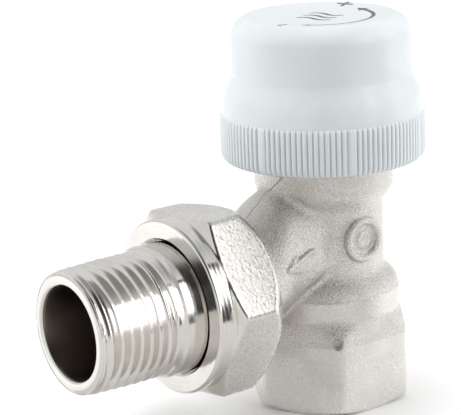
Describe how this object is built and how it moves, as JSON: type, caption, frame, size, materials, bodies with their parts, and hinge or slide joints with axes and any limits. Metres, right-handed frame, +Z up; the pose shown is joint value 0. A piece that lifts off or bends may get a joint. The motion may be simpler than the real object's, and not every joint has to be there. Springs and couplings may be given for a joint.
{
  "type": "angle radiator valve",
  "caption": "Right-angle radiator valve: pipe socket below, union nut and threaded tail at the side, ribbed screw-down cap on top that shuts the plug.",
  "frame": {"origin": "centre of the inlet socket's bottom face", "axes": "+Z up the spindle from the pipe socket to the cap; the union tail points along -X; +Y completes the right-handed frame"},
  "size_m": [0.0705, 0.035, 0.0673],
  "materials": {
    "nickel_forging": "blasted nickel plate on forged brass",
    "nickel_turned": "bright nickel plate on turned brass",
    "raw_brass": "turned",
    "stainless": "drawn",
    "seal_rubber": "moulded",
    "white_plastic": "moulded gloss"
  },
  "bodies": {
    "root": {"valve_body": "nickel_forging", "headwork_housing": "nickel_turned", "headwork_oring": "seal_rubber", "lower_guide": "raw_brass", "gland_washer": "raw_brass", "stem_oring": "seal_rubber", "gland_nut": "nickel_turned", "gland_nut_oring": "seal_rubber", "return_spring": "stainless"},
    "stem": {"spindle": "raw_brass", "push_pin": "stainless", "spring_retainer": "stainless", "retainer_circlip": "stainless", "plug_holder": "raw_brass", "seat_washer": "seal_rubber", "plug_nut": "raw_brass"},
    "cap": {"cap_shell": "white_plastic", "cap_thrust_disc": "stainless"},
    "union_seal": {"union_oring": "seal_rubber"},
    "tail": {"tailpiece": "nickel_turned"},
    "nut": {"union_nut": "nickel_turned"}
  },
  "joints": [
    {"name": "stem_lift", "type": "slide", "parent": "root", "child": "stem", "axis": [0, 0, 1], "range_m": [-0.0024, 0], "deforming": ["return_spring"]},
    {"name": "cap_turn", "type": "hinge", "parent": "stem", "child": "cap", "pos_m": [0, 0, 0.05], "axis": [0, 0, 1], "range_deg": [-576, 0]},
    {"name": "tail_draw", "type": "slide", "parent": "root", "child": "union_seal", "axis": [-1, 0, 0], "range_m": [0, 0.00726]},
    {"name": "nut_turn", "type": "hinge", "parent": "union_seal", "child": "nut", "pos_m": [-0.027, 0, 0.023], "axis": [-1, 0, 0], "range_deg": [0, 1440]},
    {"name": "tail_swivel", "type": "hinge", "parent": "union_seal", "child": "tail", "pos_m": [-0.04, 0, 0.023], "axis": [-1, 0, 0], "continuous": true}
  ],
  "couplings": [
    {"joint": "stem_lift", "follows": "cap_turn", "m_per_rad": 0.00023873},
    {"joint": "tail_draw", "follows": "nut_turn", "m_per_rad": 0.00028871}
  ]
}
